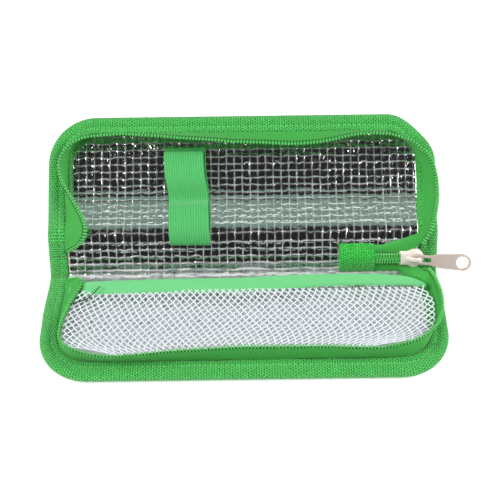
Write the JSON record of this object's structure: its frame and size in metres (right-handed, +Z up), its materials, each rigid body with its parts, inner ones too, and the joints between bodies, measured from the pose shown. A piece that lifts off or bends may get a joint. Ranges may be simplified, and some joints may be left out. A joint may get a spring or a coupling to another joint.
{
  "type": "insulin cooling case",
  "caption": "Soft insulated pen case, open at its folds, with foil lining, net pocket, elastic pen loops, zip halves and a slider with a pull tab.",
  "frame": {"origin": "on the table, under the middle of the base half, as the case stands open", "axes": "+X along the case's length towards the zip slider, +Y from the base half towards the lid, +Z up"},
  "size_m": [0.2144, 0.1327, 0.0501],
  "materials": {
    "shell": "woven",
    "binding": "woven, ribbed",
    "tape": "woven",
    "coil": "satin",
    "elastic": "ribbed",
    "tab": "shiny woven",
    "foam": "matte",
    "foil": "metallised film over a woven grid",
    "net": "knitted mesh",
    "zinc": "polished nickel"
  },
  "bodies": {
    "base": {"base_shell": "shell", "base_foam": "foam", "base_lining": "foil", "base_binding": "binding", "base_zip_tape": "tape", "base_zip_coil": "coil", "pocket_net": "net", "pocket_band": "elastic"},
    "spine": {"spine_shell": "shell", "spine_foam": "foam", "spine_lining": "foil", "spine_binding_left": "binding", "spine_binding_right": "binding", "zip_end_tape_upper": "tape", "zip_end_tape_lower": "tape", "zip_end_chain": "coil", "zip_end_tab": "tab", "zip_turn_lid": "tape", "zip_turn_base": "tape"},
    "lid": {"lid_shell": "shell", "lid_foam": "foam", "lid_lining": "foil", "lid_binding": "binding", "lid_zip_tape": "tape", "lid_zip_coil": "coil", "pen_loop_back": "elastic", "pen_loop_front": "elastic"},
    "slider": {"slider_body": "zinc", "slider_crown": "zinc"},
    "pull": {"pull_tab": "zinc"}
  },
  "joints": [
    {"name": "base_fold", "type": "hinge", "parent": "base", "child": "spine", "pos_m": [0, 0.031, 0.00245], "axis": [1, 0, 0], "range_deg": [-58, 32]},
    {"name": "lid_fold", "type": "hinge", "parent": "spine", "child": "lid", "pos_m": [0, 0.04319, 0.02195], "axis": [1, 0, 0], "range_deg": [-10, 124.4]},
    {"name": "slider_slide", "type": "slide", "parent": "spine", "child": "slider", "axis": [1, 0, 0], "range_m": [-0.006, 0]},
    {"name": "pull_swing", "type": "hinge", "parent": "slider", "child": "pull", "pos_m": [0.0865, 0.02945, 0.01497], "axis": [0, -0.5299, -0.848], "range_deg": [0, 180]}
  ]
}
